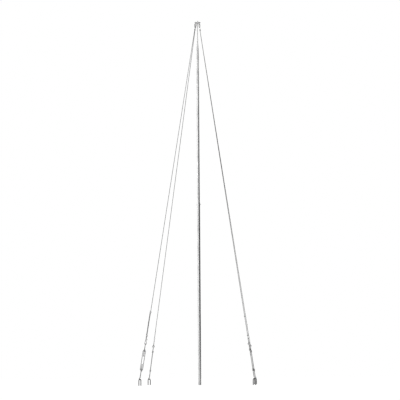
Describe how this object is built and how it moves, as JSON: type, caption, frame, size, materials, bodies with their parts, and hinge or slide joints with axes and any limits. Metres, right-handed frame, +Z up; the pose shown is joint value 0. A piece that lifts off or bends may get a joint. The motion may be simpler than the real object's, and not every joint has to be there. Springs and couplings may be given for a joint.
{
  "type": "guyed lightning rod mast",
  "caption": "Slender tubular steel lightning mast with a pointed air rod, held upright by four taut wire rope guys with ferrules, rope clips, turnbuckles and ground staples.",
  "frame": {"origin": "centre of the flat face under the mast's foot, at ground level", "axes": "+Z up along the mast, +X midway between the two guys on the picture's right, +Y away from the viewer"},
  "size_m": [1.8566, 1.8566, 6.1],
  "materials": {
    "galvanised_tube": "hot-dip galvanised, weathered to a satin grey",
    "rod_metal": "drawn aluminium rod, dull",
    "zinc_fittings": "zinc-plated forgings and fasteners, dulled",
    "dark_steel": "galvanised forgings, weathered dark",
    "wire_rope": "galvanised wire rope, weathered grey"
  },
  "bodies": {
    "root": {"foot_cap": "zinc_fittings", "lower_tube": "galvanised_tube", "upper_tube": "galvanised_tube", "joint_bolts": "zinc_fittings", "air_rod": "rod_metal", "guy_head": "zinc_fittings", "head_shackles": "zinc_fittings", "head_shackle_pins": "zinc_fittings", "head_thimbles": "zinc_fittings", "head_ferrules": "rod_metal", "guy_rope_near_right": "wire_rope", "foot_clips_near_right": "zinc_fittings", "foot_thimble_near_right": "zinc_fittings", "turnbuckle_eye_near_right": "dark_steel", "turnbuckle_body_near_right": "dark_steel", "turnbuckle_hook_near_right": "dark_steel", "ground_staple_near_right": "dark_steel", "guy_rope_far_right": "wire_rope", "foot_clips_far_right": "zinc_fittings", "foot_thimble_far_right": "zinc_fittings", "turnbuckle_eye_far_right": "dark_steel", "turnbuckle_body_far_right": "dark_steel", "turnbuckle_hook_far_right": "dark_steel", "ground_staple_far_right": "dark_steel", "guy_rope_far_left": "wire_rope", "foot_clips_far_left": "zinc_fittings", "foot_thimble_far_left": "zinc_fittings", "turnbuckle_eye_far_left": "dark_steel", "turnbuckle_body_far_left": "dark_steel", "turnbuckle_hook_far_left": "dark_steel", "ground_staple_far_left": "dark_steel", "guy_rope_near_left": "wire_rope", "foot_clips_near_left": "zinc_fittings", "foot_thimble_near_left": "zinc_fittings", "turnbuckle_eye_near_left": "dark_steel", "turnbuckle_body_near_left": "dark_steel", "turnbuckle_hook_near_left": "dark_steel", "ground_staple_near_left": "dark_steel"}
  },
  "joints": []
}
